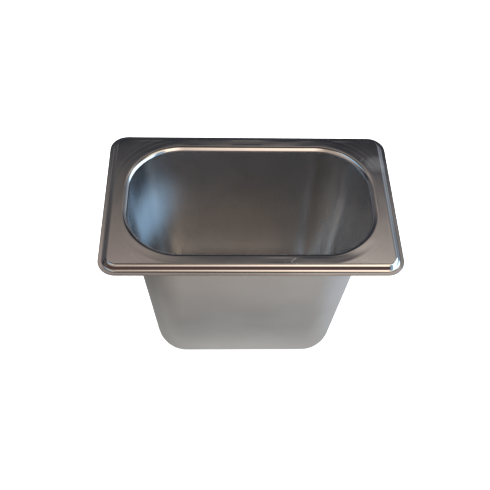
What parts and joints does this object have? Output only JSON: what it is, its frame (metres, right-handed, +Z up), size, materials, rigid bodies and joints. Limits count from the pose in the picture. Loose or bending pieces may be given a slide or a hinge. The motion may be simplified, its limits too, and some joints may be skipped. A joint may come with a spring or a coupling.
{
  "type": "food pan",
  "caption": "Small deep rectangular stainless food pan with drafted walls, large rounded corners and a stepped flat flange that hangs it in a counter well.",
  "frame": {"origin": "centre of the underside of the base, on the plane the pan stands on", "axes": "+X along the long side of the rim, +Y along the short side away from the front, +Z up out of the mouth"},
  "size_m": [0.176, 0.108, 0.15],
  "materials": {
    "drawn_stainless": "drawn stainless sheet, satin walls and a smoother flange"
  },
  "bodies": {
    "root": {"pan_shell": "drawn_stainless"}
  },
  "joints": []
}
